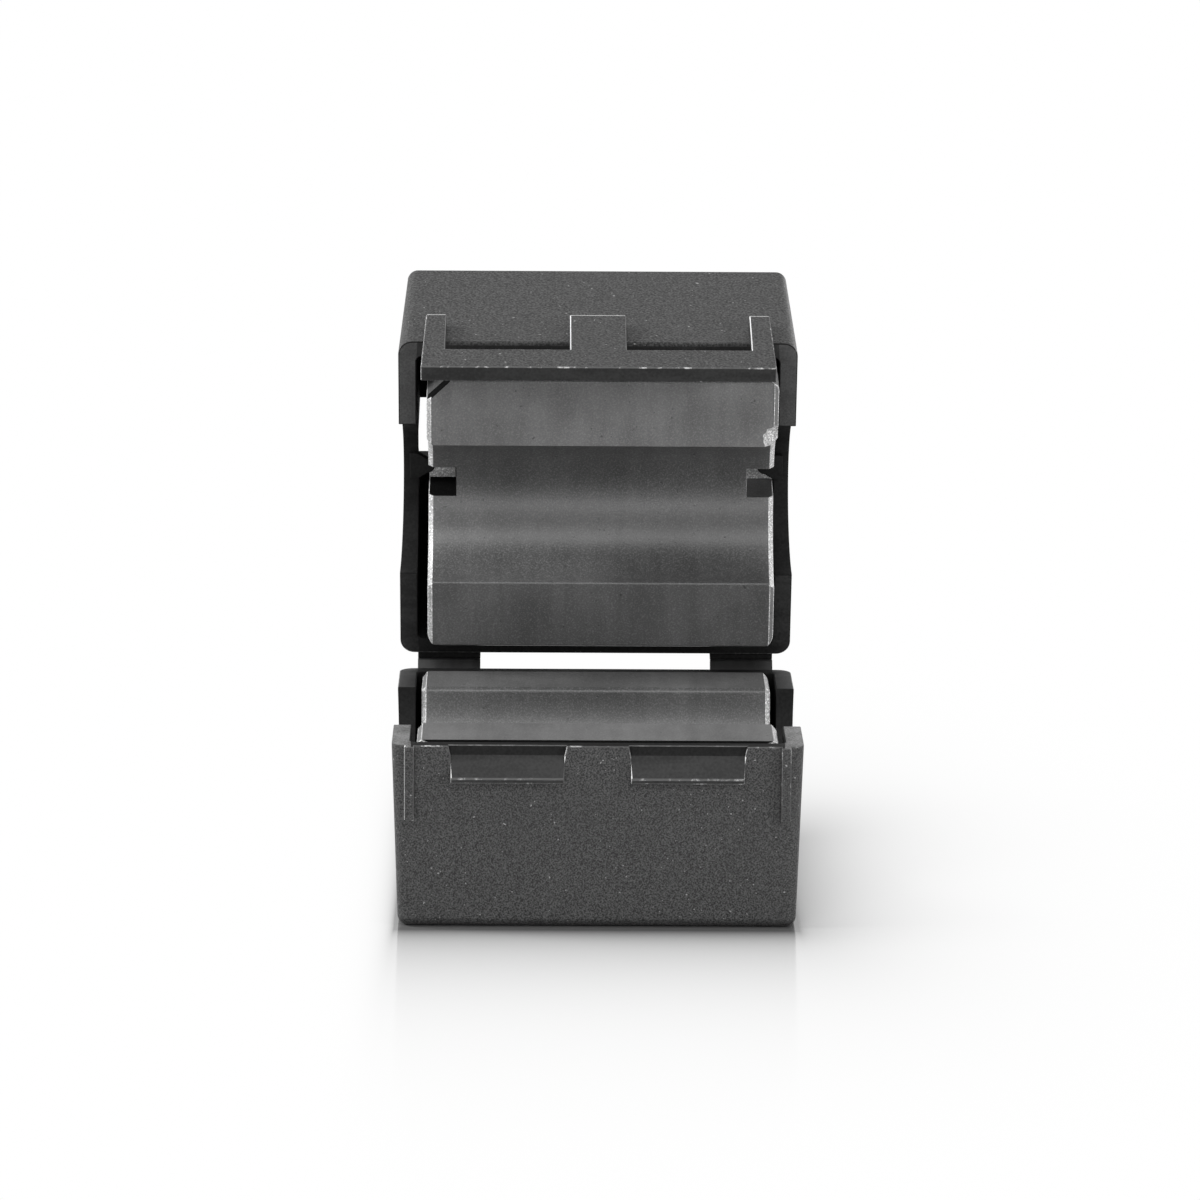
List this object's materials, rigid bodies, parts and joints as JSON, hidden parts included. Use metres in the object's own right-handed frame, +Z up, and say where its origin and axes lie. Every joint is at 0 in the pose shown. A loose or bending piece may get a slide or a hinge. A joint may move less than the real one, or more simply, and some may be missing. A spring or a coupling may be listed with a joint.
{
  "type": "clip-on ferrite bead",
  "caption": "Clip-on cable ferrite: a hinged plastic case that holds two half cores and clips shut round a 13 mm cable with a barred latch plate.",
  "frame": {"origin": "middle of the base's underside, in the plane it stands on", "axes": "+X along the cable channel, +Y towards the hinge, +Z up out of the base's open side"},
  "size_m": [0.0334, 0.0449, 0.0483],
  "materials": {
    "case_plastic": "spark-eroded matt, dark grey",
    "strap_plastic": "smooth satin, black",
    "ferrite": "ground sintered ferrite, fine grain, satin"
  },
  "bodies": {
    "base": {"base_case": "case_plastic", "ferrite_core_lower": "ferrite"},
    "straps": {"hinge_strap_left": "strap_plastic", "hinge_strap_right": "strap_plastic"},
    "lid": {"lid_case": "case_plastic"},
    "upper_core": {"ferrite_core_upper": "ferrite"}
  },
  "joints": [
    {"name": "strap_flex", "type": "hinge", "parent": "base", "child": "straps", "pos_m": [0, 0.01435, 0.0139], "axis": [-1, 0, 0], "range_deg": [0, 75]},
    {"name": "lid_hinge", "type": "hinge", "parent": "straps", "child": "lid", "pos_m": [0, 0.0155, 0.0154], "axis": [-1, 0, 0], "range_deg": [-75, 0]},
    {"name": "core_slide", "type": "slide", "parent": "lid", "child": "upper_core", "axis": [0, 0.9659, 0.2588], "range_m": [0, 0.0028]}
  ],
  "couplings": [
    {"joint": "lid_hinge", "follows": "core_slide", "rad_per_m": -467.49}
  ]
}
